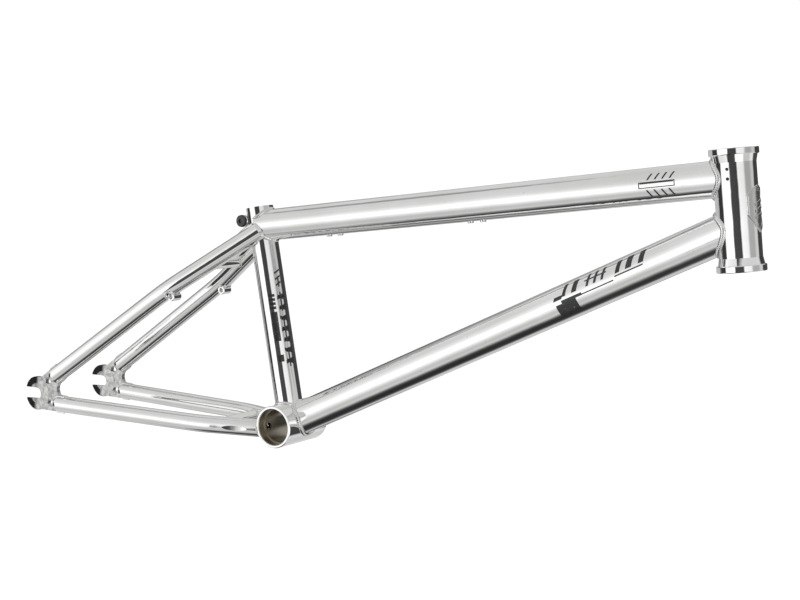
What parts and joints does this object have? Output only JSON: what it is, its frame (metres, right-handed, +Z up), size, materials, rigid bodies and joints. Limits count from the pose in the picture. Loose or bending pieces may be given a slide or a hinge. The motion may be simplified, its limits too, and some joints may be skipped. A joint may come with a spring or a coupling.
{
  "type": "bmx bicycle frame",
  "caption": "Chromed steel bicycle frame for small wheels, with a slotted seat clamp, rear axle slots, brake and cable bosses and a headset tube.",
  "frame": {"origin": "middle of the bottom bracket shell, on the crank axis", "axes": "+X towards the front wheel, +Y towards the rider's left, +Z up as ridden"},
  "size_m": [0.8953, 0.137, 0.4686],
  "materials": {
    "chrome": "bright chrome plate on steel tube",
    "plate_chrome": "bright chrome plate on cut steel plate",
    "fitting_chrome": "bright chrome plate on turned steel",
    "bolt_black": "black oxide",
    "nut_steel": "bright zinc",
    "badge_metal": "pressed aluminium with dark fill"
  },
  "bodies": {
    "frame": {"head_tube": "chrome", "bb_shell": "chrome", "seat_tube": "chrome", "top_tube": "chrome", "down_tube": "chrome", "dropout_right": "plate_chrome", "dropout_left": "plate_chrome", "seatstay_right": "chrome", "seatstay_left": "chrome", "chainstay_right": "chrome", "chainstay_left": "chrome", "brake_boss_right": "fitting_chrome", "brake_boss_left": "fitting_chrome", "seatstay_bridge": "chrome", "chainstay_bridge": "chrome", "clamp_ear_right": "fitting_chrome", "clamp_ear_left": "fitting_chrome", "seat_clamp_nut": "nut_steel", "guide_bosses_rear": "fitting_chrome", "guide_bosses_front": "fitting_chrome", "head_badge": "badge_metal", "badge_rivets": "nut_steel"},
    "washer": {"seat_clamp_washer": "bolt_black"},
    "bolt": {"seat_clamp_bolt": "bolt_black"}
  },
  "joints": [
    {"name": "bolt_advance", "type": "slide", "parent": "frame", "child": "washer", "axis": [0, -1, 0], "range_m": [0, 0.005]},
    {"name": "bolt_turn", "type": "hinge", "parent": "washer", "child": "bolt", "pos_m": [-0.098, 0, 0.22005], "axis": [0, -1, 0], "range_deg": [0, 1440]}
  ],
  "couplings": [
    {"joint": "bolt_advance", "follows": "bolt_turn", "m_per_rad": 0.00015915}
  ]
}
